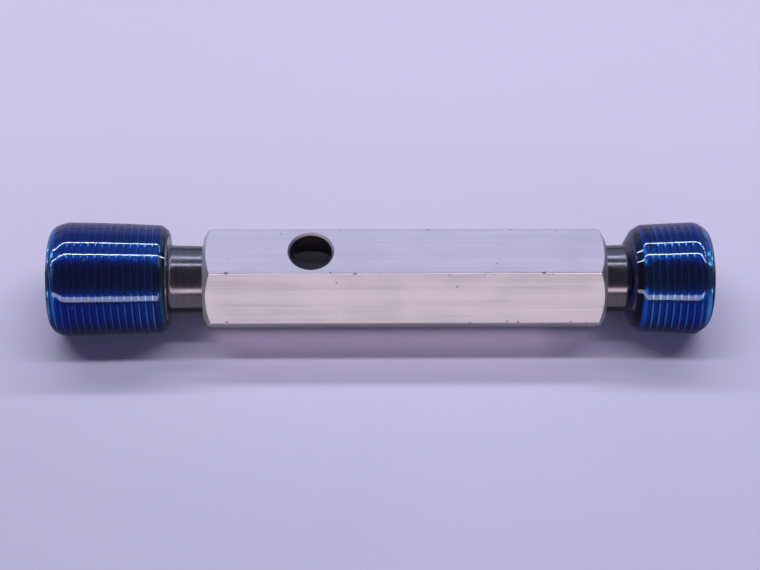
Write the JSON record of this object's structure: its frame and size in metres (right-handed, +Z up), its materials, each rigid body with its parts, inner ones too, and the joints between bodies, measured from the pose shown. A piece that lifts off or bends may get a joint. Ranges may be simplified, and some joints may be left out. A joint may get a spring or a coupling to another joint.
{
  "type": "thread plug gauge",
  "caption": "Double-end thread plug gauge: hexagonal aluminium handle with a drift hole, steel GO and NO-GO members held by taper shanks, threads dipped in peelable blue plastic.",
  "frame": {"origin": "centre of the bounding box on the table that the gauge lies on", "axes": "+X along the gauge from the GO end to the NO-GO end, +Z up and square to the handle flat that the drift hole opens on, -Y towards the viewer of the picture"},
  "size_m": [0.151, 0.0262, 0.0259],
  "materials": {
    "handle_aluminium": "drawn bar with fine lengthwise lines, handled and lightly nicked along its edges",
    "gauge_steel": "hardened tool steel, ground",
    "dip_coat": "translucent glossy deep blue, dipped and drained"
  },
  "bodies": {
    "root": {"handle": "handle_aluminium", "go_member": "gauge_steel", "no_go_member": "gauge_steel", "go_dip_coat": "dip_coat", "no_go_dip_coat": "dip_coat"}
  },
  "joints": []
}
